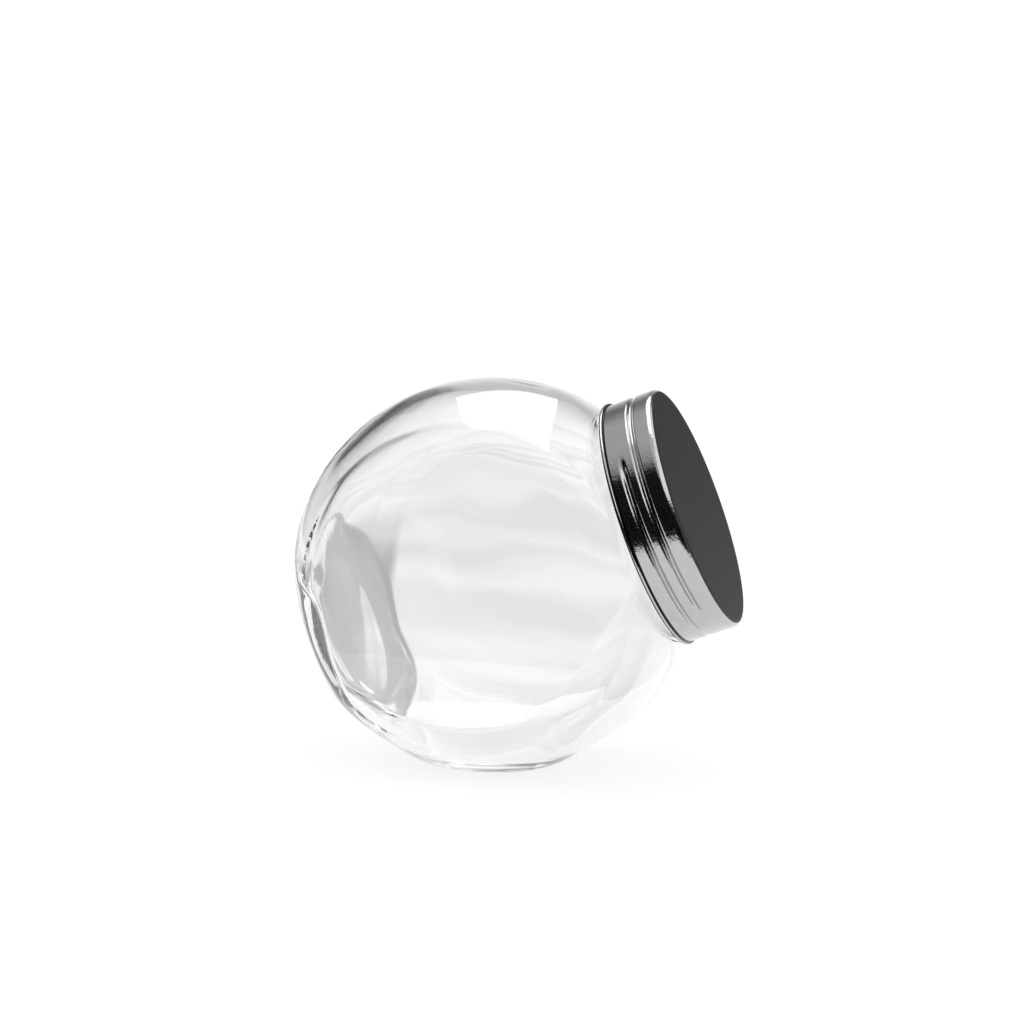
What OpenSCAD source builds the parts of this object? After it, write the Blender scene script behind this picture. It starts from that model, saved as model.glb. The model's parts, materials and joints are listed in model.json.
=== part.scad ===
// Round glass jar that rests tilted on a small foot, with a pressed metal screw lid.
// Origin: centre of the tilt foot's flat face. +Z is up. +X is the side the mouth leans to.
// The two flat discs of the bulb face -Y (front) and +Y (back).

/* [Glass bulb] */
// Radius of the round bulb
bulb_r = 70; // [66:1:74]
// Distance from the bulb's centre to each of the two flat discs
disc_offset = 45.5; // [44:0.5:48]
// Rounding between a flat disc and the bulb
disc_edge_r = 12.7; // [10:0.1:14]
// How far the rounding's centre stands out from where it would meet the bulb smoothly
disc_edge_out = 0.6; // [0.4:0.1:0.8]
// Thickness of the bulb's glass
wall_t = 4; // [3:0.5:5]

/* [Feet] */
// Distance from the bulb's centre down to the tilt foot
foot_drop = 65; // [64:0.5:66]
// Thickness of glass over the tilt foot
foot_t = 5; // [4:0.5:7]
// Distance from the bulb's centre to the upright base, opposite the mouth
base_drop = 60.2; // [59:0.1:62]
// Thickness of glass over the upright base
base_t = 9; // [6:0.5:11]
// Radius of the hollow in the middle of the upright base
push_up_r = 27; // [20:1:30]
// Depth of that hollow
push_up_depth = 0.5; // [0.5:0.1:2]

/* [Neck and mouth] */
// Tilt of the mouth's axis above horizontal
mouth_tilt = 21.6; // [18:0.1:26]
// Outer radius of the neck
neck_r = 40.4; // [40.2:0.1:40.6]
// Radius of the mouth
mouth_r = 36.5; // [34:0.5:37]
// Distance from the bulb's centre to the lip
lip_height = 75.1; // [74.9:0.1:75.1]
// Rounding of the lip's edges
lip_round = 1.2; // [0.8:0.1:1.5]

/* [Screw thread] */
// Pitch of the thread
thread_pitch = 5.08; // [5.08:0.01:5.08]
// Angle that each thread wraps round the mouth's axis
thread_wrap = 455; // [360:5:460]
// Angle at which the threads start, from the front and towards the bottom
thread_start = -38; // [-60:1:0]
// Outer radius of the glass thread
glass_thread_r = 41.9; // [41.6:0.1:42]
// Inner radius of the lid's rolled thread
lid_thread_r = 41.1; // [40.9:0.1:41.3]
// Height of the lid's thread, at its start, above the bulb's centre
lid_thread_height = 64.4; // [64:0.1:65]
// How far the glass thread sits above the lid's thread
thread_lead = 1.95; // [1.9:0.05:2.1]
// Half width of the glass thread where it stands on the neck
glass_root_w = 1.25; // [1.1:0.05:1.3]
// Half width of the glass thread's crest
glass_crest_w = 0.5; // [0.4:0.05:0.6]
// Half width of the lid's thread, inside, where it leaves the skirt
lid_root_w = 1.6; // [1.5:0.05:1.7]
// Half width of the lid's thread, inside, at its crest
lid_crest_w = 0.6; // [0.5:0.05:0.7]
// Half width of the lid's groove, outside, where it is widest
groove_mouth_w = 1.65; // [1.55:0.05:1.75]
// Half width of the lid's groove, outside, at its floor
groove_floor_w = 0.4; // [0.3:0.05:0.5]

/* [Lid] */
// Outer radius of the lid's skirt
lid_r = 42.7; // [42.6:0.1:42.9]
// Thickness of the sheet metal
sheet_t = 0.4; // [0.35:0.05:0.4]
// Distance from the bulb's centre to the lid's flat face
lid_top = 77.4; // [77.4:0.1:77.6]
// Rounding of the lid's shoulder
shoulder_r = 2.3; // [2:0.1:2.6]
// Distance from the bulb's centre to the lower edge of the lid's hem
hem_height = 58.3; // [58.2:0.1:58.6]
// Radius of the curled hem's bead
hem_r = 0.65; // [0.5:0.05:0.8]

/* [Liner and seal] */
// Radius of the liner disc
liner_r = 40.2; // [39:0.1:40.3]
// Thickness of the liner disc
liner_t = 1; // [0.8:0.1:1]
// Thickness of the seal ring
seal_t = 0.8; // [0.5:0.1:0.8]
// Outer radius of the seal ring
seal_outer_r = 41; // [40.5:0.1:41.5]
// Inner radius of the seal ring
seal_inner_r = 35.5; // [34:0.5:36]

/* [Hidden] */
$fn = 96;
// Larger than anything in the model, for cutting solids
big = 200;
// Gap between pieces of different bodies that rest on each other
rest_gap = 0.05;
// Where the bulb's surface starts and ends its turn, clear of the neck and the feet
seam_angle = 100;
// Facets of a thread in one turn
thread_facets = 36;
// Angle over which a thread rises to its full height at each end
thread_fade = 20;
// Share of its full section that a thread has at its very ends
thread_end_share = 0.05;
// How far the glass thread's root is sunk into the neck
root_sink = 0.3;
// Height above the bulb's centre where the neck's solid starts, well inside the bulb
neck_start = 40;
skirt_inner_r = lid_r - sheet_t;
// Top of the liner, just under the lid's face
liner_top = lid_top - sheet_t - rest_gap;

// Puts a solid made along +Z, from the bulb's centre, on the mouth's axis
module on_mouth_axis() {
    translate([0, 0, foot_drop])
        rotate([0, 90 - mouth_tilt, 0])
            children();
}

// Half outline of a drum with rounded edges. Its side is wider than the bulb.
module drum_outline(r, half_depth, edge_r) {
    edge_y = half_depth - edge_r;
    edge_x = sqrt(pow(r - edge_r, 2) - pow(edge_y, 2));
    side_y = edge_y * r / (r - edge_r);
    translate([0, -half_depth])
        square([edge_x + disc_edge_out, 2 * half_depth]);
    for (side = [-1, 1])
        translate([edge_x + disc_edge_out, side * edge_y])
            circle(r = edge_r);
    translate([0, -side_y])
        square([r + edge_r, 2 * side_y]);
}

// The jar's rounded form, with its flat discs, foot and base, moved inwards by inset
module jar_form(inset, foot_inset, base_inset) {
    intersection() {
        translate([0, 0, foot_drop])
            rotate([90, seam_angle, 0])
                sphere(r = bulb_r - inset);
        translate([0, 0, foot_drop])
            rotate([90, seam_angle, 0])
                rotate_extrude()
                    drum_outline(bulb_r - inset, disc_offset - inset, disc_edge_r - inset);
        translate([0, 0, foot_inset])
            cylinder(h = big, r = big);
        on_mouth_axis()
            translate([0, 0, base_inset - base_drop])
                cylinder(h = big, r = big);
    }
}

// Shallow hollow in the middle of the upright base
module push_up() {
    dome_r = (pow(push_up_r, 2) + pow(push_up_depth, 2)) / (2 * push_up_depth);
    on_mouth_axis()
        translate([0, 0, push_up_depth - base_drop - dome_r])
            sphere(r = dome_r);
}

// Helical rib with a trapezoid section. It starts at thread_start and winds towards +Z.
// root_w and tip_w are half widths. The tip may lie outside or inside the root.
module helical_rib(start_height, root_r, tip_r, root_w, tip_w) {
    steps = round(thread_wrap / 360 * thread_facets);
    side = sign(tip_r - root_r);
    function fade(a) = min(1, a / thread_fade, (thread_wrap - a) / thread_fade);
    function section(a) =
        let (k = thread_end_share + (1 - thread_end_share) * fade(a))
        let (z = start_height + thread_pitch * a / 360)
        let (r = root_r + (tip_r - root_r) * k)
        let (root_z = side * root_w * k)
        let (tip_z = side * tip_w * k)
        [[root_r, z - root_z], [r, z - tip_z], [r, z + tip_z], [root_r, z + root_z]];
    points = [
        for (i = [0 : steps])
            let (a = thread_wrap * i / steps)
            for (p = section(a))
                [p[0] * sin(a + thread_start), -p[0] * cos(a + thread_start), p[1]]
    ];
    last = 4 * steps;
    sides = [
        for (i = [0 : steps - 1])
            for (j = [0 : 3])
                let (k = (j + 1) % 4)
                each [
                    [4 * i + j, 4 * i + k, 4 * i + 4 + k],
                    [4 * i + j, 4 * i + 4 + k, 4 * i + 4 + j]
                ]
    ];
    ends = [[3, 2, 1, 0], [last, last + 1, last + 2, last + 3]];
    polyhedron(points = points, faces = concat(sides, ends), convexity = 10);
}

module glass_jar() {
    color([0.86, 0.9, 0.9, 0.4])
    difference() {
        union() {
            jar_form(0, 0, 0);
            on_mouth_axis() {
                // Neck with rounded lip
                rotate_extrude() {
                    translate([0, neck_start])
                        square([neck_r, lip_height - lip_round - neck_start]);
                    translate([0, neck_start])
                        square([neck_r - lip_round, lip_height - neck_start]);
                    translate([neck_r - lip_round, lip_height - lip_round])
                        circle(r = lip_round);
                }
                helical_rib(
                    lid_thread_height + thread_lead,
                    neck_r - root_sink, glass_thread_r,
                    glass_root_w, glass_crest_w
                );
            }
        }
        jar_form(wall_t, foot_t, base_t);
        on_mouth_axis()
            cylinder(h = big, r = mouth_r);
        push_up();
    }
}

module lid_shell() {
    shoulder_h = lid_top - shoulder_r;
    color([0.45, 0.45, 0.47])
    on_mouth_axis()
    difference() {
        union() {
            rotate_extrude() {
                // Face
                translate([0, lid_top - sheet_t])
                    square([lid_r - shoulder_r, sheet_t]);
                // Shoulder
                translate([lid_r - shoulder_r, shoulder_h])
                    intersection() {
                        difference() {
                            circle(r = shoulder_r);
                            circle(r = shoulder_r - sheet_t);
                        }
                        square(shoulder_r);
                    }
                // Skirt
                translate([skirt_inner_r, hem_height + hem_r])
                    square([sheet_t, shoulder_h - hem_height - hem_r]);
                // Curled hem
                translate([skirt_inner_r + hem_r, hem_height + hem_r])
                    circle(r = hem_r);
            }
            helical_rib(
                lid_thread_height,
                skirt_inner_r + sheet_t / 2, lid_thread_r,
                lid_root_w, lid_crest_w
            );
        }
        helical_rib(
            lid_thread_height,
            lid_r + sheet_t, lid_thread_r + sheet_t,
            groove_mouth_w, groove_floor_w
        );
    }
}

module lid_liner() {
    color([0.93, 0.92, 0.88])
    on_mouth_axis()
        translate([0, 0, liner_top - liner_t])
            cylinder(h = liner_t, r = liner_r);
}

module seal_ring() {
    color([0.75, 0.75, 0.73])
    on_mouth_axis()
        translate([0, 0, liner_top - liner_t - seal_t])
            difference() {
                cylinder(h = seal_t, r = seal_outer_r);
                cylinder(h = big, r = seal_inner_r, center = true);
            }
}

glass_jar();
lid_shell();
lid_liner();
seal_ring();
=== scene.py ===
"""Round tilted glass jar with a pressed metal screw lid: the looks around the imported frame.

Every surface of the object is a fine mesh made from formulas. Its lengths are in millimetres
along, across and in front of the mouth's axis, and place() turns them into metres in the CAD
model's frame. The studio's lengths are in metres.
"""
import json
import math

import bpy
import numpy as np
from mathutils import Matrix, Vector


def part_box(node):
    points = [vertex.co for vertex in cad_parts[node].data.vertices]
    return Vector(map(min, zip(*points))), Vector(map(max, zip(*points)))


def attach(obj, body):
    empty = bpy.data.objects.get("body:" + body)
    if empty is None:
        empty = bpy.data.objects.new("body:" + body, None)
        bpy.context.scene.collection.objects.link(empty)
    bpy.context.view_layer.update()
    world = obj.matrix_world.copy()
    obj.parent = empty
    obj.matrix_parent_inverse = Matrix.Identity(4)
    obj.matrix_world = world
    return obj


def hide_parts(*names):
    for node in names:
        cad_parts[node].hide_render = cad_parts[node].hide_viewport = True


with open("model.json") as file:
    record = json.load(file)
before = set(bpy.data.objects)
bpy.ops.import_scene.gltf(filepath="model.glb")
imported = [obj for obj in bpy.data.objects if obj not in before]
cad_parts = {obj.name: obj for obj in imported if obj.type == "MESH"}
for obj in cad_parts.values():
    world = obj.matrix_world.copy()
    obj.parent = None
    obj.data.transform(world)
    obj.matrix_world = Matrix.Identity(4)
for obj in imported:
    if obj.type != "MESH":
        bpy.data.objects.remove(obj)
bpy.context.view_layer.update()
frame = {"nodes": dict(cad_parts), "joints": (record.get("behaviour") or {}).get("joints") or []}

MM = 0.001

# ---------------------------------------------------------------- axes and sizes from the frame

screw = next(j for j in frame["joints"] if j["name"] == "lid_turn")
CENTRE = np.array(screw["pos_m"])                     # centre of the glass bulb
ALONG = np.array(screw["axis"]) / np.linalg.norm(screw["axis"])   # out of the mouth
FRONT = np.array((0.0, -1.0, 0.0))                    # out of the front disc
ACROSS = np.cross(FRONT, ALONG)                       # square to both, upwards
BASIS = np.array((ALONG, ACROSS, FRONT))


def place(points):
    """Points as (along, across, front) in millimetres, to the CAD model's frame in metres."""
    return CENTRE + (np.asarray(points, float) * MM) @ BASIS


def measured(node):
    """The vertices of a CAD node as (along, across, front) in millimetres."""
    mesh = frame["nodes"][node].data
    co = np.zeros(len(mesh.vertices) * 3)
    mesh.vertices.foreach_get("co", co)
    return (co.reshape(-1, 3) - CENTRE) @ BASIS.T / MM


def from_axis(points):
    """Distance of each point from the mouth's axis."""
    return np.hypot(points[..., 1], points[..., 2])


jar_points = measured("glass_jar")
lid_points = measured("lid_shell")
liner_points = measured("lid_liner")
seal_points = measured("seal_ring")

FOOT_DROP = CENTRE[2] / MM                            # bulb centre to tilt foot
BULB_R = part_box("glass_jar")[1].z / MM - FOOT_DROP
DISC_OFFSET = jar_points[:, 2].max()                  # bulb centre to a flat disc
BASE_DROP = -jar_points[:, 0].min()                   # bulb centre to upright base
LIP = jar_points[:, 0].max()                          # bulb centre to the lip
LID_TOP = lid_points[:, 0].max()
HEM_BOTTOM = lid_points[:, 0].min()
LINER_TOP = liner_points[:, 0].max()
LINER_BOTTOM = liner_points[:, 0].min()
LINER_R = from_axis(liner_points).max()
SEAL_BOTTOM = seal_points[:, 0].min()
SEAL_OUTER_R = from_axis(seal_points).max()
SEAL_INNER_R = from_axis(seal_points).min()

# ---------------------------------------------------------------- sizes shared with the CAD model

DISC_EDGE_R = 12.7        # rounding between a flat disc and the bulb
WALL = 4.0                # glass thickness of the bulb
FOOT_GLASS = 5.0          # glass over the tilt foot
FLOOR_GLASS = 9.0         # glass over the upright base
PUSH_UP_R = 27.0          # hollow in the upright base
PUSH_UP_DEPTH = 0.5
NECK_R = 40.4
MOUTH_R = 36.5
LIP_ROUND = 1.2
PITCH = 5.08
THREAD_WRAP = 455.0       # degrees
THREAD_START = -38.0      # degrees from the front, towards the bottom
LID_THREAD_HEIGHT = 64.4  # bulb centre to the start of the lid's thread
THREAD_LEAD = 1.95        # how far the glass thread lies above the lid's
GLASS_THREAD_R = 41.9
LID_R = 42.7
SHEET = 0.4
LID_THREAD_DEPTH = 1.2
SHOULDER_R = 2.3
HEM_R = 0.65
HEM_TOP = HEM_BOTTOM + 2 * HEM_R

# ---------------------------------------------------------------- sizes of the looks alone

INNER_DISC_EDGE_R = 10.5  # rounding between a flat disc and the bulb, inside
FOOT_R = 25.0             # radius of the tilt foot's flat face
FLANK_END = math.radians(47)   # where the foot's flank meets the bulb, from straight down
FOOT_EDGE_BLEND = 2.0     # between the tilt foot's flat face and its flank
FLANK_BLEND = 5.0         # between the flank and the bulb, outside and inside
FLANK_GLASS = 3.5         # glass over the flank
BASE_BLEND = 5.0          # between the upright base and the bulb, outside
FLOOR_BLEND = 1.6         # between the floor over the base and the wall, inside
FLOOR_EVEN_R = 28.0       # the floor is even out to here, and grows uneven towards the wall
FLOOR_UNEVEN_WIDTH = 12.0
NECK_BLEND = 1.9          # between the bulb and the neck, outside
MOUTH_BLEND = 2.0         # between the bulb and the mouth, inside
NECK_ZONE = 30.0          # the neck and the mouth begin no nearer the bulb's centre than this
NECK_JOIN = 59.6          # where the bulb's outer rings end and the neck's begin
MOUTH_JOIN = 60.0         # the same inside
RIPPLE_HEIGHT = 0.35      # slow unevenness of the inner surface
RIPPLE_SPAN = 70.0        # length that stands for 1 in its formula
THREAD_HALF_WIDTH = 1.5   # of the glass thread and of the lid's groove
THREAD_FADE = 16.0        # degrees over which a thread rises at each end
PAINTED_FACE_EDGE = 0.35          # the face's near-black colour, a painted reflection of the dark room, ends this far below the lid's face
LINER_EDGE_R = 0.25
SEAL_EDGE_R = 0.3

WRINKLES_PER_RADIAN = 22  # flow lines round the heel of the upright base
WRINKLE_LENGTH = 14.0
WRINKLE_HEIGHT = 0.10
WRINKLES_START = 0.5 - BASE_DROP   # along the mouth's axis
WRINKLES_END = -52.5
WRINKLES_FADE = 2.0
WRINKLES_R = (31.0, 37.0)          # none at the first radius, full at the second

# Painted shade in the hem's crevices, drawn near black on the tinplate.
PAINTED_SHADE_UNDER_BEAD = (0.62, 0.48)     # painted shade under the hem's bead, above the hem's bottom: none at the first, full at the second
PAINTED_SHADE_OVER_BEAD = (-0.25, 0.60)     # painted shade in the crevice over the hem's bead: from and to, above the hem's top
PAINTED_SHADE_BLEND = 0.15

# ---------------------------------------------------------------- fineness of the meshes

FINE_TURNS = np.arange(0, 360, 0.75)   # angles round the axis, in degrees, for glass and lid
PLAIN_TURNS = np.arange(0, 360, 1.5)   # for liner and seal
BULB_RINGS = 230                       # outside, and as many inside
RAY_LENGTHS = (20.0, 110.0)            # the glass lies between these from the bulb's centre
RAY_HALVINGS = 40
JOIN_GAP = 0.3                         # between the bulb's last ring and the neck's first
THREAD_STEP = 0.22                     # between rings on the neck and on the outside of the skirt
INNER_SKIRT_STEP = 0.25
MOUTH_STEP = 0.5
FACE_STEP = 2.0
LINER_TOP_STEP = 1.5
LINER_BOTTOM_STEP = 0.5
AFTER_SHOULDER = 0.2                   # from a rounded stretch to the next ring
AFTER_HEM = 0.3
AFTER_INNER_SHOULDER = 0.5
AFTER_LINER_EDGE = 0.4
LIP_POINTS = 9                         # in each of the lip's two quarter rounds
SHOULDER_POINTS = 14
INNER_SHOULDER_POINTS = 8
HEM_POINTS = 26
EDGE_POINTS = 5                        # in each rounded edge of the liner and the seal
TINY = 0.01                            # allowance for rounding errors in a radius

# ---------------------------------------------------------------- small helpers


def smooth_max(a, b, blend):
    """The larger of two fields, rounded over where they are within blend of each other."""
    near = np.clip(blend - np.abs(a - b), 0, None) / blend
    return np.maximum(a, b) + near * near * blend / 4


def smooth_min(a, b, blend):
    """The smaller of two fields, rounded over in the same way."""
    return -smooth_max(-a, -b, blend)


def arc(centre, radius, start, end, count):
    """Points (along, radius) on an arc. Angles in degrees, 0 is outwards and 90 is along."""
    t = np.radians(np.linspace(start, end, count))
    return np.column_stack((centre[0] + radius * np.sin(t), centre[1] + radius * np.cos(t)))


def line(start, end, step):
    """Points from start towards end, about step apart, without the last one."""
    start, end = np.array(start, float), np.array(end, float)
    count = max(int(np.linalg.norm(end - start) / step), 1)
    return start + (end - start) * np.linspace(0, 1, count, endpoint=False)[:, None]


def lathe(profile, turns, sunk=0.0):
    """Rings from a profile of (along, radius) rows; turns are angles in degrees.

    sunk is how far each point of the rings lies inside the profile's radius.
    """
    t = np.radians(turns)
    along = np.repeat(profile[:, :1], len(t), 1)
    radius = profile[:, 1:2] - sunk
    return np.stack((along, -radius * np.sin(t), radius * np.cos(t)), axis=2)


def thread_on(profile, turns, start_height):
    """0 to 1: how far a helical thread stands out at each point of a profile's rings."""
    along = profile[:, :1]
    best = np.zeros((len(profile), len(turns)))
    for wind in (0, 1):
        wound = (turns - THREAD_START) % 360 + 360 * wind
        centre = start_height + PITCH * wound / 360
        section = np.clip(1 - np.abs(along - centre) / THREAD_HALF_WIDTH, 0, 1)
        rise = 0.5 - 0.5 * np.cos(math.pi * section)
        start = np.clip(wound / THREAD_FADE, 0, 1)
        end = np.clip((THREAD_WRAP - wound) / THREAD_FADE, 0, 1)
        fade = start * end
        best = np.maximum(best, rise * (fade * fade * (3 - 2 * fade)))
    return best


def quads_between(low, high, columns):
    """Quads between the ring of points that starts at low and the one that starts at high."""
    across = np.arange(columns)
    following = (across + 1) % columns
    corners = (low + across, high + across, high + following, low + following)
    return np.column_stack(corners).tolist()


def new_piece(name, points, faces, body, replaces, materials):
    """A smooth piece from points in millimetres. It rides on a body and replaces a CAD node."""
    mesh = bpy.data.meshes.new(name)
    mesh.from_pydata(place(points).tolist(), [], faces)
    mesh.polygons.foreach_set("use_smooth", np.ones(len(faces), bool))
    mesh.update()
    for material in materials:
        mesh.materials.append(material)
    piece = bpy.data.objects.new(name, mesh)
    bpy.context.scene.collection.objects.link(piece)
    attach(piece, body)
    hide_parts(replaces)
    return piece


def closed_surface(rings):
    """Points and faces of a closed surface from rings, the first and last of which are poles."""
    rows, columns = rings.shape[:2]
    points = np.vstack((rings[0].mean(0), rings[1:-1].reshape(-1, 3), rings[-1].mean(0)))
    last = len(points) - 1
    starts = 1 + columns * np.arange(rows - 2)
    across = np.arange(columns)
    following = (across + 1) % columns
    faces = [(0, 1 + c, 1 + following[c]) for c in across]
    for low, high in zip(starts, starts[1:]):
        faces += quads_between(low, high, columns)
    faces += [(starts[-1] + c, last, starts[-1] + following[c]) for c in across]
    return points, faces


# ---------------------------------------------------------------- node helpers


def new_material(name):
    """A material with its node tree and its Principled shader."""
    material = bpy.data.materials.new(name)
    material.use_nodes = True
    tree = material.node_tree
    return material, tree, tree.nodes["Principled BSDF"]


def add(tree, kind, **values):
    """A node with its sockets set by name and its properties set by name."""
    node = tree.nodes.new(kind)
    for key, value in values.items():
        if key in node.inputs:
            node.inputs[key].default_value = value
        else:
            setattr(node, key, value)
    return node


def row_coordinates(tree):
    """Object coordinates in metres, which stay with the piece as it moves."""
    return add(tree, "ShaderNodeTexCoord").outputs["Object"]


def mouth_coordinates(tree):
    """Distances in metres along the mouth's axis, across it and towards the front."""
    from_centre = add(tree, "ShaderNodeVectorMath", operation="SUBTRACT")
    from_centre.inputs[1].default_value = CENTRE
    tree.links.new(row_coordinates(tree), from_centre.inputs[0])
    parts = []
    for axis in (ALONG, ACROSS, FRONT):
        dot = add(tree, "ShaderNodeVectorMath", operation="DOT_PRODUCT")
        dot.inputs[1].default_value = axis
        tree.links.new(from_centre.outputs["Vector"], dot.inputs[0])
        parts.append(dot.outputs["Value"])
    return parts


def noise(tree, vector, scale, detail):
    """Smooth noise of about 0 to 1, with scale features in each unit of the vector."""
    texture = add(tree, "ShaderNodeTexNoise", Scale=scale, Detail=detail)
    tree.links.new(vector, texture.inputs["Vector"])
    return texture.outputs["Fac"]


def combined(tree, operation, first, second):
    """The sum or product of two values, by the Math node's name for it."""
    node = add(tree, "ShaderNodeMath", operation=operation)
    tree.links.new(first, node.inputs[0])
    tree.links.new(second, node.inputs[1])
    return node.outputs[0]


def scaled(tree, source, low, high):
    """A source of 0 to 1, spread from low to high."""
    spread = add(tree, "ShaderNodeMapRange")
    spread.inputs["To Min"].default_value = low
    spread.inputs["To Max"].default_value = high
    tree.links.new(source, spread.inputs["Value"])
    return spread.outputs["Result"]


def soft_step(tree, source, low, high):
    """0 at low, 1 at high and smooth between."""
    step = add(tree, "ShaderNodeMapRange", interpolation_type="SMOOTHSTEP")
    step.inputs["From Min"].default_value = low
    step.inputs["From Max"].default_value = high
    tree.links.new(source, step.inputs["Value"])
    return step.outputs["Result"]


def between(tree, source, low, high, blend):
    """1 where a distance in metres is between low and high millimetres, with soft ends."""
    above = soft_step(tree, source, low * MM, (low + blend) * MM)
    below = soft_step(tree, source, high * MM, (high - blend) * MM)
    return combined(tree, "MULTIPLY", above, below)


def flat_grey(tree, grey):
    """One even grey."""
    node = add(tree, "ShaderNodeRGB")
    node.outputs[0].default_value = (grey, grey, grey, 1)
    return node.outputs[0]


def grey_ramp(tree, source, stops):
    """A grey that follows (position, grey) stops."""
    ramp = add(tree, "ShaderNodeValToRGB")
    elements = ramp.color_ramp.elements
    while len(elements) < len(stops):
        elements.new(0.5)
    for element, (position, grey) in zip(elements, stops):
        element.position = position
        element.color = (grey, grey, grey, 1)
    tree.links.new(source, ramp.inputs["Fac"])
    return ramp.outputs["Color"]


def colour_ramp(tree, source, first, second):
    """A colour that goes from first to second as the source goes from 0 to 1."""
    ramp = add(tree, "ShaderNodeValToRGB")
    ramp.color_ramp.elements[0].color = (*first, 1)
    ramp.color_ramp.elements[1].color = (*second, 1)
    tree.links.new(source, ramp.inputs["Fac"])
    return ramp.outputs["Color"]


def mix_colours(tree, factor, first, second):
    """The first colour where the factor is 0, the second where it is 1."""
    mix = add(tree, "ShaderNodeMix", data_type="RGBA")
    tree.links.new(factor, mix.inputs["Factor"])
    tree.links.new(first, mix.inputs[6])
    tree.links.new(second, mix.inputs[7])
    return mix.outputs[2]


def mix_shaders(tree, factor, first, second):
    """The first shader where the factor is 0, the second where it is 1."""
    mix = add(tree, "ShaderNodeMixShader")
    tree.links.new(factor, mix.inputs[0])
    tree.links.new(first, mix.inputs[1])
    tree.links.new(second, mix.inputs[2])
    return mix.outputs[0]


def bump(tree, height, strength, millimetres):
    """A bump node for heights of 0 to 1. A height of 1 stands for the given millimetres."""
    node = add(tree, "ShaderNodeBump", Strength=strength, Distance=millimetres * MM)
    tree.links.new(height, node.inputs["Height"])
    return node


def light_path_switch(tree, output):
    """1 where a light path output, which is a count or a yes, isn't 0."""
    path = add(tree, "ShaderNodeLightPath")
    test = add(tree, "ShaderNodeMath", operation="GREATER_THAN")
    test.inputs[1].default_value = 0.5
    tree.links.new(path.outputs[output], test.inputs[0])
    return test.outputs[0]


# ---------------------------------------------------------------- materials


def heel_wrinkles(tree):
    """Fine flow lines in the glass round the heel of the upright base, as a height of 0 to 1."""
    along, across, front = mouth_coordinates(tree)
    round_axis = add(tree, "ShaderNodeCombineXYZ")
    tree.links.new(across, round_axis.inputs["Y"])
    tree.links.new(front, round_axis.inputs["Z"])
    heading = add(tree, "ShaderNodeVectorMath", operation="NORMALIZE")
    tree.links.new(round_axis.outputs[0], heading.inputs[0])
    spread = add(tree, "ShaderNodeVectorMath", operation="SCALE", Scale=WRINKLES_PER_RADIAN)
    tree.links.new(heading.outputs["Vector"], spread.inputs[0])
    lengthways = add(tree, "ShaderNodeMath", operation="DIVIDE")
    lengthways.inputs[1].default_value = WRINKLE_LENGTH * MM
    tree.links.new(along, lengthways.inputs[0])
    raised = add(tree, "ShaderNodeCombineXYZ")
    tree.links.new(lengthways.outputs[0], raised.inputs["X"])
    where = add(tree, "ShaderNodeVectorMath", operation="ADD")
    tree.links.new(spread.outputs["Vector"], where.inputs[0])
    tree.links.new(raised.outputs[0], where.inputs[1])
    lines = noise(tree, where.outputs["Vector"], scale=1.0, detail=2.0)
    radius = add(tree, "ShaderNodeVectorMath", operation="LENGTH")
    tree.links.new(round_axis.outputs[0], radius.inputs[0])
    near, far = WRINKLES_R
    off_the_floor = soft_step(tree, radius.outputs["Value"], near * MM, far * MM)
    on_heel = between(tree, along, WRINKLES_START, WRINKLES_END, WRINKLES_FADE)
    return combined(tree, "MULTIPLY", lines, combined(tree, "MULTIPLY", on_heel, off_the_floor))


def glass_material():
    """Clear soda-lime glass: faint green, slightly rippled, with flow lines round the heel."""
    material, tree, shader = new_material("clear_glass")
    shader.inputs["Transmission Weight"].default_value = 1.0
    shader.inputs["IOR"].default_value = 1.5
    shader.inputs["Roughness"].default_value = 0.0
    vector = row_coordinates(tree)
    mottle = noise(tree, vector, scale=14.0, detail=1.0)
    tint = colour_ramp(tree, mottle, (0.988, 0.997, 0.993), (0.994, 0.999, 0.997))
    tree.links.new(tint, shader.inputs["Base Color"])
    waves = noise(tree, vector, scale=60.0, detail=2.0)
    rippled = bump(tree, waves, strength=0.05, millimetres=1.0)
    wrinkled = bump(tree, heel_wrinkles(tree), strength=1.0, millimetres=WRINKLE_HEIGHT)
    tree.links.new(rippled.outputs["Normal"], wrinkled.inputs["Normal"])
    tree.links.new(wrinkled.outputs["Normal"], shader.inputs["Normal"])
    return material


def hem_painted_shade(tree):
    """Painted shade: 1 on the underside of the hem's bead and in the crevice above it, where shade
    falls, 0 elsewhere.
    """
    along = mouth_coordinates(tree)[0]
    unshaded, full = PAINTED_SHADE_UNDER_BEAD
    under_bead = soft_step(tree, along, (HEM_BOTTOM + unshaded) * MM, (HEM_BOTTOM + full) * MM)
    low, high = PAINTED_SHADE_OVER_BEAD
    over_bead = between(tree, along, HEM_TOP + low, HEM_TOP + high, PAINTED_SHADE_BLEND)
    return combined(tree, "ADD", under_bead, over_bead)


def tinplate_material():
    """Semi-gloss tinplate: fine orange peel, slightly uneven gloss and painted shade in the hem's
    crevices.
    """
    material, tree, shader = new_material("lid_tinplate")
    shader.inputs["Metallic"].default_value = 1.0
    vector = row_coordinates(tree)
    mottle = noise(tree, vector, scale=220.0, detail=4.0)
    bare = colour_ramp(tree, mottle, (0.47, 0.465, 0.455), (0.56, 0.555, 0.545))
    # painted shade: near black under the hem's bead and in the crevice above it
    colour = mix_colours(tree, hem_painted_shade(tree), bare, flat_grey(tree, 0.012))
    tree.links.new(colour, shader.inputs["Base Color"])
    tree.links.new(scaled(tree, mottle, 0.10, 0.15), shader.inputs["Roughness"])
    peel = noise(tree, vector, scale=1100.0, detail=2.0)
    raised = bump(tree, peel, strength=0.5, millimetres=0.1)
    tree.links.new(raised.outputs["Normal"], shader.inputs["Normal"])
    return material


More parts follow.
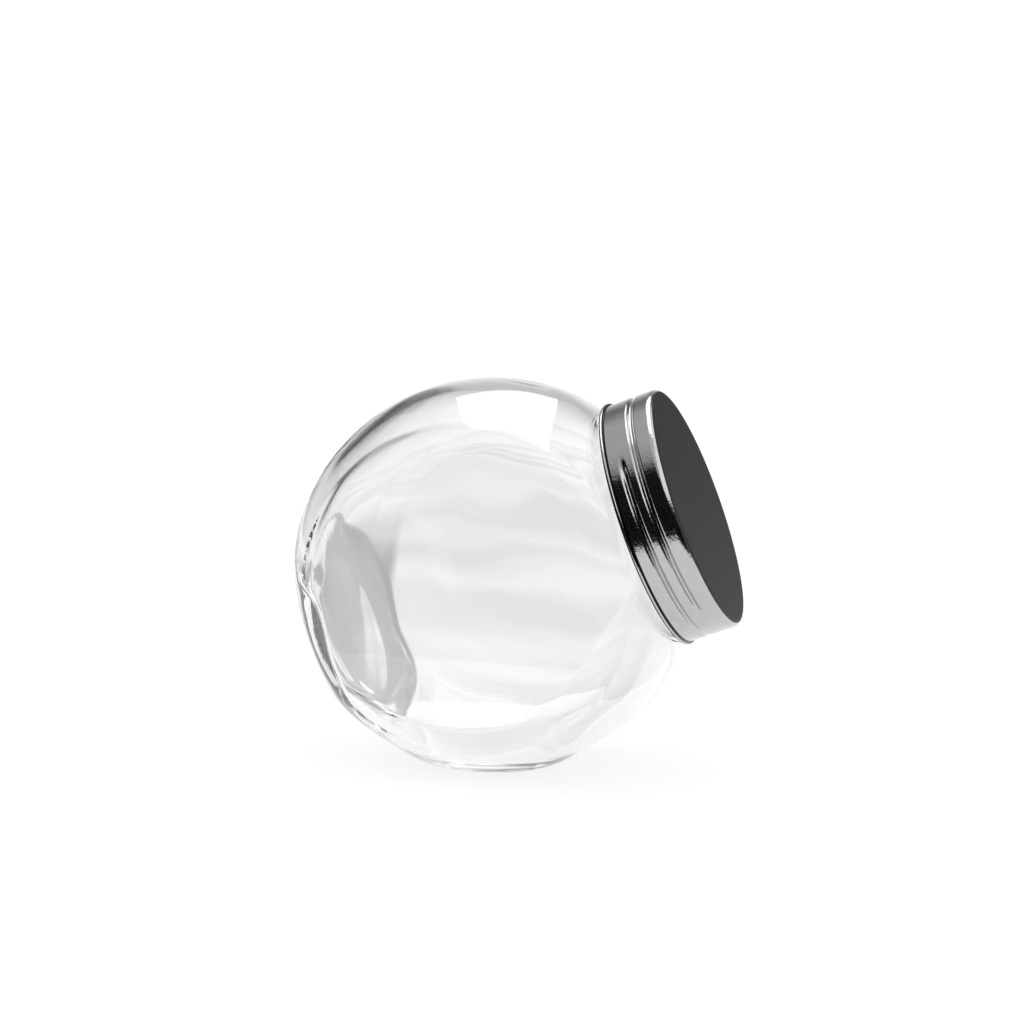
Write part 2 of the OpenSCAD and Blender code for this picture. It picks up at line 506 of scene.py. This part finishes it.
def face_painted_reflection_material():
    """The lid's flat face: satin with a very fine grain, its near-black colour a painted reflection
    of the dark room on tinplate like the skirt's.
    """
    material, tree, shader = new_material("lid_face_painted_reflection")
    shader.inputs["Metallic"].default_value = 0.0
    shader.inputs["Specular IOR Level"].default_value = 0.18
    grain = noise(tree, row_coordinates(tree), scale=1400.0, detail=3.0)
    # painted reflection: a near-black colour in place of the dark room that the face reflects
    colour = colour_ramp(tree, grain, (0.024, 0.0195, 0.0190), (0.032, 0.0268, 0.0260))
    tree.links.new(colour, shader.inputs["Base Color"])
    tree.links.new(scaled(tree, grain, 0.44, 0.52), shader.inputs["Roughness"])
    raised = bump(tree, grain, strength=0.2, millimetres=0.05)
    tree.links.new(raised.outputs["Normal"], shader.inputs["Normal"])
    return material


def liner_material():
    """White foamed liner board with fine closed cells."""
    material, tree, shader = new_material("liner_board")
    shader.inputs["Roughness"].default_value = 0.75
    cells = add(tree, "ShaderNodeTexVoronoi", Scale=2500.0)
    tree.links.new(row_coordinates(tree), cells.inputs["Vector"])
    depth = cells.outputs["Distance"]
    colour = colour_ramp(tree, depth, (0.70, 0.69, 0.65), (0.80, 0.79, 0.75))
    tree.links.new(colour, shader.inputs["Base Color"])
    raised = bump(tree, depth, strength=0.3, millimetres=0.2)
    tree.links.new(raised.outputs["Normal"], shader.inputs["Normal"])
    return material


def seal_material():
    """Soft pale grey sealing compound."""
    material, tree, shader = new_material("seal_compound")
    shader.inputs["Roughness"].default_value = 0.5
    flow = noise(tree, row_coordinates(tree), scale=300.0, detail=3.0)
    colour = colour_ramp(tree, flow, (0.42, 0.42, 0.40), (0.50, 0.50, 0.48))
    tree.links.new(colour, shader.inputs["Base Color"])
    return material


# ---------------------------------------------------------------- the glass
# A field is negative inside a form and positive outside it, in about millimetres.

FAR_OUTSIDE = 99.0        # a field's value where its form is nowhere near


def bulb_field(p, radius, half_depth, edge_r):
    """A ball with two flat discs whose rims are rounded by edge_r."""
    flat_way = np.hypot(p[..., 0], p[..., 1])
    depth = np.abs(p[..., 2])
    edge_y = half_depth - edge_r
    edge_x = math.sqrt((radius - edge_r) ** 2 - edge_y**2)
    ball = np.hypot(flat_way, depth) - radius
    rim = np.hypot(flat_way - edge_x, depth - edge_y) - edge_r
    disc = depth - half_depth
    on_rim = depth * edge_x > edge_y * flat_way
    return np.where(flat_way <= edge_x, disc, np.where(on_rim, rim, ball))


def foot_field(p, flat_inset, flank_inset):
    """What lies above the tilt foot's flat face and within its sloping flank."""
    raised = p @ BASIS[:, 2]
    height = FOOT_DROP + raised
    radius = np.sqrt(np.maximum((p**2).sum(-1) - raised**2, 0))
    flank_r = BULB_R * math.sin(FLANK_END)
    flank_z = FOOT_DROP - BULB_R * math.cos(FLANK_END)
    slope = math.atan2(flank_z, flank_r - FOOT_R)
    flank = (radius - FOOT_R) * math.sin(slope) - height * math.cos(slope) + flank_inset
    return smooth_max(flat_inset - height, flank, FOOT_EDGE_BLEND)


def outer_field(p):
    """The jar's outer form, neck included, thread left out."""
    radius = from_axis(p)
    hollow = np.clip(1 - (radius / PUSH_UP_R) ** 2, 0, 1)
    base = -p[..., 0] - BASE_DROP + PUSH_UP_DEPTH * hollow
    form = smooth_max(bulb_field(p, BULB_R, DISC_OFFSET, DISC_EDGE_R), base, BASE_BLEND)
    form = smooth_max(form, foot_field(p, 0.0, 0.0), FLANK_BLEND)
    neck = np.where(p[..., 0] > NECK_ZONE, radius - NECK_R, FAR_OUTSIDE)
    return smooth_min(form, neck, NECK_BLEND)


def ripple(p):
    """Slow unevenness of the blown inner surface, about -1 to 1."""
    x, y, z = np.moveaxis(p / RIPPLE_SPAN, -1, 0)
    return (
        0.45 * np.sin(5.1 * x + 3.3 * y + 0.7) * np.sin(4.3 * z - 2.1 * x + 1.9)
        + 0.35 * np.sin(8.7 * y - 4.9 * z + 2.6) * np.cos(7.1 * x + 0.4)
        + 0.20 * np.sin(15.3 * y + 6.1 * z + 0.9) * np.sin(11.7 * x - 9.1 * z)
    )


def floor_field(p):
    """What lies above the jar's inner floor, which has low waves near the wall."""
    turn = np.arctan2(p[..., 1], p[..., 2])
    towards_wall = np.clip((from_axis(p) - FLOOR_EVEN_R) / FLOOR_UNEVEN_WIDTH, 0, 1)
    waves = 0.9 * np.sin(5 * turn + 0.8) + 0.5 * np.sin(9 * turn - 1.1)
    return -p[..., 0] - (BASE_DROP - FLOOR_GLASS) + towards_wall * towards_wall * waves


def inner_field(p):
    """The jar's hollow, mouth included."""
    form = bulb_field(p, BULB_R - WALL, DISC_OFFSET - WALL, INNER_DISC_EDGE_R)
    form = smooth_max(form, floor_field(p), FLOOR_BLEND)
    form = smooth_max(form, foot_field(p, FOOT_GLASS, FLANK_GLASS), FLANK_BLEND)
    form = form + RIPPLE_HEIGHT * ripple(p)
    mouth = np.where(p[..., 0] > NECK_ZONE, from_axis(p) - MOUTH_R, FAR_OUTSIDE)
    return smooth_min(form, mouth, MOUTH_BLEND)


def shell_rings(field, polar, turns):
    """Rings where rays from the bulb's centre leave a field's form.

    polar gives each ring's angle from the mouth's axis, in degrees. Each ray's length is
    found by halving the stretch that it must end in.
    """
    a = np.radians(polar)[:, None]
    t = np.radians(turns)[None, :]
    ray = np.stack(
        (np.cos(a) + 0 * t, -np.sin(a) * np.sin(t), np.sin(a) * np.cos(t)), axis=2
    )
    near = np.full(ray.shape[:2], RAY_LENGTHS[0])
    far = np.full(ray.shape[:2], RAY_LENGTHS[1])
    for _ in range(RAY_HALVINGS):
        middle = (near + far) / 2
        inside = field(ray * middle[..., None]) < 0
        near = np.where(inside, middle, near)
        far = np.where(inside, far, middle)
    return ray * near[..., None]


def neck_profile():
    """The neck from its foot up to the lip, over it and down the mouth."""
    shoulder = LIP - LIP_ROUND
    return np.vstack((
        line((NECK_JOIN + JOIN_GAP, NECK_R), (shoulder, NECK_R), THREAD_STEP),
        arc((shoulder, NECK_R - LIP_ROUND), LIP_ROUND, 0, 90, LIP_POINTS),
        arc((shoulder, MOUTH_R + LIP_ROUND), LIP_ROUND, 90, 180, LIP_POINTS),
        line((shoulder - MOUTH_STEP, MOUTH_R), (MOUTH_JOIN + JOIN_GAP, MOUTH_R), MOUTH_STEP),
    ))


def build_glass(material):
    """One closed mesh: from the floor's middle up the inside to the lip, then down the outside."""
    outer_end = math.degrees(math.atan2(NECK_R, NECK_JOIN))
    inner_end = math.degrees(math.atan2(MOUTH_R, MOUTH_JOIN))
    outer = shell_rings(outer_field, np.linspace(180, outer_end, BULB_RINGS), FINE_TURNS)
    inner = shell_rings(inner_field, np.linspace(inner_end, 180, BULB_RINGS), FINE_TURNS)
    neck = neck_profile()
    rise = thread_on(neck, FINE_TURNS, LID_THREAD_HEIGHT + THREAD_LEAD)
    outside = neck[:, 1:2] > NECK_R - TINY
    stand_out = np.where(outside, rise * (GLASS_THREAD_R - NECK_R), 0)
    rings = np.concatenate((outer, lathe(neck, FINE_TURNS, -stand_out), inner), axis=0)[::-1]
    points, faces = closed_surface(rings)
    new_piece("jar_glass", points, faces, "jar", "glass_jar", [material])


# ---------------------------------------------------------------- the lid


def lid_outside():
    """The profile from the face's middle over the shoulder, down the skirt and round the hem."""
    shoulder_base = LID_TOP - SHOULDER_R
    face_r = LID_R - SHOULDER_R
    hem_centre = (HEM_BOTTOM + HEM_R, LID_R - SHEET + HEM_R)
    seam = math.degrees(math.acos((LID_R - hem_centre[1]) / HEM_R))
    return np.vstack((
        line((LID_TOP, 0.0), (LID_TOP, face_r), FACE_STEP),
        arc((shoulder_base, face_r), SHOULDER_R, 90, 0, SHOULDER_POINTS),
        line((shoulder_base - AFTER_SHOULDER, LID_R), (HEM_TOP, LID_R), THREAD_STEP),
        arc(hem_centre, HEM_R, seam, -180, HEM_POINTS),
    ))


def lid_inside():
    """The profile from the hem up the inside to the middle of the face's underside."""
    shoulder_base = LID_TOP - SHOULDER_R
    face_r = LID_R - SHOULDER_R
    inner_r = LID_R - SHEET
    start = HEM_BOTTOM + HEM_R + AFTER_HEM
    under = LID_TOP - SHEET
    return np.vstack((
        line((start, inner_r), (shoulder_base, inner_r), INNER_SKIRT_STEP),
        arc((shoulder_base, face_r), SHOULDER_R - SHEET, 0, 90, INNER_SHOULDER_POINTS),
        line((under, face_r - AFTER_INNER_SHOULDER), (under, 0.0), FACE_STEP),
        [(under, 0.0)],
    ))


def build_lid(metal, face):
    """Pressed lid: face painted near black as a reflection of the dark room, rounded shoulder,
    rolled thread, curled hem and the inside.
    """
    outside = lid_outside()
    profile = np.vstack((outside, lid_inside()))
    height, radius = profile[:, 0], profile[:, 1]
    on_skirt = (radius > LID_R - SHEET - TINY) & (radius < LID_R + TINY) & (height > HEM_TOP)
    rise = thread_on(profile, FINE_TURNS, LID_THREAD_HEIGHT)
    groove = np.where(on_skirt[:, None], rise * LID_THREAD_DEPTH, 0)
    points, faces = closed_surface(lathe(profile, FINE_TURNS, groove))
    # the face's rings get the painted-reflection material
    painted_face = (height > LID_TOP - PAINTED_FACE_EDGE) & (np.arange(len(profile)) < len(outside))
    lid = new_piece(
        "lid_metal_shell", points, faces, "lid", "lid_shell", [metal, face]
    )
    material_number = np.repeat(painted_face[:-1], len(FINE_TURNS)).astype(np.int32)
    lid.data.polygons.foreach_set("material_index", material_number)


def build_liner(material):
    """Liner disc with softened edges."""
    edge = LINER_EDGE_R
    flat_r = LINER_R - edge
    profile = np.vstack((
        line((LINER_TOP, 0.0), (LINER_TOP, flat_r), LINER_TOP_STEP),
        arc((LINER_TOP - edge, flat_r), edge, 90, 0, EDGE_POINTS),
        arc((LINER_BOTTOM + edge, flat_r), edge, 0, -90, EDGE_POINTS),
        line((LINER_BOTTOM, flat_r - AFTER_LINER_EDGE), (LINER_BOTTOM, 0.0), LINER_BOTTOM_STEP),
        [(LINER_BOTTOM, 0.0)],
    ))
    points, faces = closed_surface(lathe(profile, PLAIN_TURNS))
    new_piece("liner_disc", points, faces, "liner", "lid_liner", [material])


def build_seal(material):
    """Seal ring: a flat band with rounded edges. It has no poles, so it is closed on itself."""
    edge = SEAL_EDGE_R
    top = LINER_BOTTOM
    profile = np.vstack((
        arc((top - edge, SEAL_OUTER_R - edge), edge, 90, 0, EDGE_POINTS),
        arc((SEAL_BOTTOM + edge, SEAL_OUTER_R - edge), edge, 0, -90, EDGE_POINTS),
        arc((SEAL_BOTTOM + edge, SEAL_INNER_R + edge), edge, -90, -180, EDGE_POINTS),
        arc((top - edge, SEAL_INNER_R + edge), edge, -180, -270, EDGE_POINTS),
    ))
    rings = lathe(profile, PLAIN_TURNS)
    rows, columns = rings.shape[:2]
    faces = []
    for row in range(rows):
        faces += quads_between(row * columns, (row + 1) % rows * columns, columns)
    points = rings.reshape(-1, 3)
    new_piece("seal_band", points, faces, "liner", "seal_ring", [material])


build_glass(glass_material())
build_lid(tinplate_material(), face_painted_reflection_material())
build_liner(liner_material())
build_seal(seal_material())

# ---------------------------------------------------------------- studio
# The room is a map of greys over the direction that a ray leaves in. X is to the right, Y is
# away from the camera and Z is up, each -1 to 1. The lists below give (Z, grey).

FRONT_LEFT = [(0.0, 0.0), (0.62, 0.0), (0.70, 0.4), (0.9, 0.75)]
FRONT_RIGHT = [(0.0, 0.0), (0.50, 0.0), (0.58, 1.0), (0.9, 1.0)]
SWEEP = [(0.0, 1.0), (0.12, 0.9), (0.30, 0.5), (0.47, 0.28), (0.6, 0.35), (0.75, 0.75)]
BACK_ROOM = [(0.0, 0.10), (0.5, 0.12), (0.62, 0.3), (0.75, 0.6)]
EVEN_BACK = [(0.0, 1.0), (0.04, 0.95), (0.15, 0.78), (0.3, 0.6), (0.55, 0.55), (0.75, 0.8)]
SCREEN = [(0.0, 1.0), (0.10, 0.8), (0.22, 0.10), (0.45, 0.10), (0.52, 0.55), (0.75, 0.8)]
UNLIT_FRONT = [(0.0, 0.42), (0.45, 0.42), (0.7, 0.8)]
WINDOW = 1.3
PLAIN_ROOM = 1.12

# Where one part of the room gives way to the next: none at the first number, all at the second.
FRONT_RIGHT_X = (0.1, 0.3)
SWEEP_RIGHT_X = (0.12, -0.02)
SWEEP_LEFT_X = (-0.48, -0.36)
BACK_Y = (-0.30, 0.10)
WINDOW_X = (0.2, 0.4)
WINDOW_Z = (0.40, 0.55)
SCREEN_X = (-0.30, -0.42)
FRONT_Y = (0.10, -0.20)

FLOOR_REACH = 6.0
FLOOR_GREY = 0.24
FLOOR_GLOW = 0.8

SOFTBOX_HEIGHT = 0.8
SOFTBOX_CORNERS = ((-0.35, 0.63), (-0.14, -0.08), (0.28, 0.02), (0.05, 1.05))
SOFTBOX_GLOW = 2.8

BACKDROP_LOW = (0.09, 0.0005)  # Y and Z of its lower edge
BACKDROP_HIGH = (1.0, 0.12)
BACKDROP_HALF_WIDTH = 2.0
PAPER_FOLD_SHADING = [(0.3, 0.84), (0.7, 0.99)]   # (fold, grey): painted light and shade of the paper's folds
FOLD_TURN = math.radians(-35)
FOLD_SCALE = (2.5, 9.0, 1.0)
SHADE_GREY = 0.47
SHADE_SLANT = 0.27         # how far the shade's edge moves left for each metre away
SHADE_X = (-0.038, -0.050)     # none at the first number, all at the second
SHADE_Y = (0.45, 0.25)

DARK_FRONT_Y = -0.28
DARK_FRONT_TOP = 0.27
DARK_FRONT_HALF_WIDTH = 1.5
FRONT_IN_GLASS = 0.5       # grey of the dark front when it is seen deep in the glass

CAMERA_FROM_BULB = Vector((0.2046, -0.8390, 0.1239))
CAMERA_AZIMUTH = math.radians(13.3)
CAMERA_ELEVATION = math.radians(6.65)
CAMERA_ROLL = math.radians(1.2)
CAMERA_LENS = 87.9         # millimetres, as is the sensor
CAMERA_SENSOR = 36.0

LIGHT_BOUNCES = 64         # light runs a long way inside thick glass


def strip(half_width, low, high):
    """Corners of a strip across the view. low and high are the (Y, Z) of its two long edges."""
    return [(-half_width, *low), (half_width, *low), (half_width, *high), (-half_width, *high)]


def stage_panel(name, corners, material):
    """A flat panel of the studio, with one material."""
    mesh = bpy.data.meshes.new(name)
    mesh.from_pydata(corners, [], [(0, 1, 2, 3)])
    mesh.materials.append(material)
    panel = bpy.data.objects.new(name, mesh)
    bpy.context.scene.collection.objects.link(panel)
    return panel


def card(name, corners, strength):
    """A flat card, seen in reflections and through glass but not by the camera.

    Returns the panel and its material's tree, glow and output.
    """
    material = bpy.data.materials.new(name)
    material.use_nodes = True
    tree = material.node_tree
    tree.nodes.clear()
    glow = add(tree, "ShaderNodeEmission", Strength=strength, Color=(1, 1, 1, 1))
    out = add(tree, "ShaderNodeOutputMaterial")
    tree.links.new(glow.outputs[0], out.inputs["Surface"])
    panel = stage_panel(name, corners, material)
    panel.visible_camera = False
    panel.visible_diffuse = False
    panel.visible_shadow = False
    return panel, tree, glow, out


def build_floor():
    """Pale floor that glows a little, so that the shadow on it stays faint."""
    material, tree, shader = new_material("pale_floor")
    shader.inputs["Base Color"].default_value = (FLOOR_GREY, FLOOR_GREY, FLOOR_GREY, 1)
    shader.inputs["Roughness"].default_value = 1.0
    shader.inputs["Specular IOR Level"].default_value = 0.0
    shader.inputs["Emission Color"].default_value = (1, 1, 1, 1)
    shader.inputs["Emission Strength"].default_value = FLOOR_GLOW
    stage_panel("floor", strip(FLOOR_REACH, (-FLOOR_REACH, 0), (FLOOR_REACH, 0)), material)


def build_softbox():
    """A lit panel overhead."""
    card("softbox", [(x, y, SOFTBOX_HEIGHT) for x, y in SOFTBOX_CORNERS], SOFTBOX_GLOW)


def backdrop_fold_shading(tree, position):
    """Painted shade: soft slanting bands of light and shade where the paper folds."""
    turned = add(tree, "ShaderNodeMapping")
    turned.inputs["Rotation"].default_value = (0, 0, FOLD_TURN)
    turned.inputs["Scale"].default_value = FOLD_SCALE
    tree.links.new(position, turned.inputs["Vector"])
    folds = noise(tree, turned.outputs["Vector"], scale=2.2, detail=0.5)
    return grey_ramp(tree, folds, PAPER_FOLD_SHADING)


def backdrop_shade(tree, position):
    """1 where the paper is in shade: on the left, close behind the jar."""
    split = add(tree, "ShaderNodeSeparateXYZ")
    tree.links.new(position, split.inputs[0])
    slanted = add(tree, "ShaderNodeMath", operation="MULTIPLY_ADD")
    slanted.inputs[1].default_value = SHADE_SLANT
    tree.links.new(split.outputs["Y"], slanted.inputs[0])
    tree.links.new(split.outputs["X"], slanted.inputs[2])
    on_the_left = soft_step(tree, slanted.outputs[0], *SHADE_X)
    close_by = soft_step(tree, split.outputs["Y"], *SHADE_Y)
    return combined(tree, "MULTIPLY", on_the_left, close_by)


def build_backdrop():
    """White paper behind the jar, seen only through the glass: a glowing card with painted shade of
    folds and a painted shade on its left.
    """
    corners = strip(BACKDROP_HALF_WIDTH, BACKDROP_LOW, BACKDROP_HIGH)
    panel, tree, glow, _ = card("backdrop", corners, 1.0)
    panel.visible_glossy = False
    position = row_coordinates(tree)
    fold_shaded_paper = backdrop_fold_shading(tree, position)
    shade = backdrop_shade(tree, position)
    # painted shade: fold bands and the shaded stretch on the left, carried in the card's glow
    colour = mix_colours(tree, shade, fold_shaded_paper, flat_grey(tree, SHADE_GREY))
    tree.links.new(colour, glow.inputs["Color"])


def build_dark_front():
    """The unlit room beyond the table's front edge: black in the lid, grey deep in the glass."""
    low, high = (DARK_FRONT_Y, 0.0), (DARK_FRONT_Y, DARK_FRONT_TOP)
    _, tree, black, out = card("dark_front", strip(DARK_FRONT_HALF_WIDTH, low, high), 0.0)
    grey = add(tree, "ShaderNodeEmission", Strength=FRONT_IN_GLASS)
    clear = add(tree, "ShaderNodeBsdfTransparent")
    in_glass = light_path_switch(tree, "Transmission Depth")
    dark = mix_shaders(tree, in_glass, black.outputs[0], grey.outputs[0])
    reflected = light_path_switch(tree, "Glossy Depth")
    surface = mix_shaders(tree, reflected, clear.outputs[0], dark)
    tree.links.new(surface, out.inputs["Surface"])


def room_reflected(tree, x, y, height):
    """The room in reflections: dark low in front, a sweep behind, a window high on the right."""
    front = mix_colours(
        tree, soft_step(tree, x, *FRONT_RIGHT_X),
        grey_ramp(tree, height, FRONT_LEFT), grey_ramp(tree, height, FRONT_RIGHT),
    )
    on_sweep = combined(
        tree, "MULTIPLY", soft_step(tree, x, *SWEEP_RIGHT_X), soft_step(tree, x, *SWEEP_LEFT_X)
    )
    back = mix_colours(
        tree, on_sweep, grey_ramp(tree, height, BACK_ROOM), grey_ramp(tree, height, SWEEP)
    )
    room = mix_colours(tree, soft_step(tree, y, *BACK_Y), front, back)
    in_window = combined(
        tree, "MULTIPLY", soft_step(tree, x, *WINDOW_X), soft_step(tree, height, *WINDOW_Z)
    )
    return mix_colours(tree, in_window, room, flat_grey(tree, WINDOW))


def room_through_glass(tree, x, y, height):
    """The room through glass: pale, with a dark screen on the left and an unlit front."""
    back = mix_colours(
        tree, soft_step(tree, x, *SCREEN_X),
        grey_ramp(tree, height, EVEN_BACK), grey_ramp(tree, height, SCREEN),
    )
    unlit = grey_ramp(tree, height, UNLIT_FRONT)
    return mix_colours(tree, soft_step(tree, y, *FRONT_Y), back, unlit)


def build_world():
    """A white room: plain for the camera and for soft light, mapped in reflections and in glass."""
    world = bpy.data.worlds.new("studio")
    bpy.context.scene.world = world
    world.use_nodes = True
    tree = world.node_tree
    tree.nodes.clear()
    where = add(tree, "ShaderNodeTexCoord")
    split = add(tree, "ShaderNodeSeparateXYZ")
    tree.links.new(where.outputs["Generated"], split.inputs[0])
    direction = (split.outputs["X"], split.outputs["Y"], split.outputs["Z"])
    plain = add(tree, "ShaderNodeBackground", Color=(1, 1, 1, 1), Strength=PLAIN_ROOM)
    reflected = add(tree, "ShaderNodeBackground")
    tree.links.new(room_reflected(tree, *direction), reflected.inputs["Color"])
    through = add(tree, "ShaderNodeBackground")
    tree.links.new(room_through_glass(tree, *direction), through.inputs["Color"])
    glossy = light_path_switch(tree, "Glossy Depth")
    transmitted = light_path_switch(tree, "Transmission Depth")
    diffuse = light_path_switch(tree, "Is Diffuse Ray")
    surface = mix_shaders(tree, glossy, plain.outputs[0], reflected.outputs[0])
    surface = mix_shaders(tree, transmitted, surface, through.outputs[0])
    surface = mix_shaders(tree, diffuse, surface, plain.outputs[0])
    out = add(tree, "ShaderNodeOutputWorld")
    tree.links.new(surface, out.inputs["Surface"])


def build_camera():
    """The view from in front, a little to the right and a little above."""
    data = bpy.data.cameras.new("camera")
    data.sensor_width = CAMERA_SENSOR
    data.lens = CAMERA_LENS
    data.clip_start = 0.01
    data.clip_end = 50.0
    camera = bpy.data.objects.new("camera", data)
    bpy.context.scene.collection.objects.link(camera)
    back = Vector((
        math.sin(CAMERA_AZIMUTH) * math.cos(CAMERA_ELEVATION),
        -math.cos(CAMERA_AZIMUTH) * math.cos(CAMERA_ELEVATION),
        math.sin(CAMERA_ELEVATION),
    ))
    level = Vector((0, 0, 1)).cross(back).normalized()
    upright = back.cross(level)
    right = level * math.cos(CAMERA_ROLL) + upright * math.sin(CAMERA_ROLL)
    up = back.cross(right)
    turn = Matrix((right, up, back)).transposed()
    camera.matrix_world = Matrix.Translation(Vector(CENTRE) + CAMERA_FROM_BULB) @ turn.to_4x4()
    bpy.context.scene.camera = camera


build_floor()
build_world()
build_softbox()
build_backdrop()
build_dark_front()
build_camera()
bpy.context.scene.view_settings.view_transform = "Standard"
bpy.context.scene.cycles.max_bounces = LIGHT_BOUNCES
bpy.context.scene.cycles.transmission_bounces = LIGHT_BOUNCES
bpy.context.scene.cycles.glossy_bounces = LIGHT_BOUNCES

bpy.context.view_layer.update()
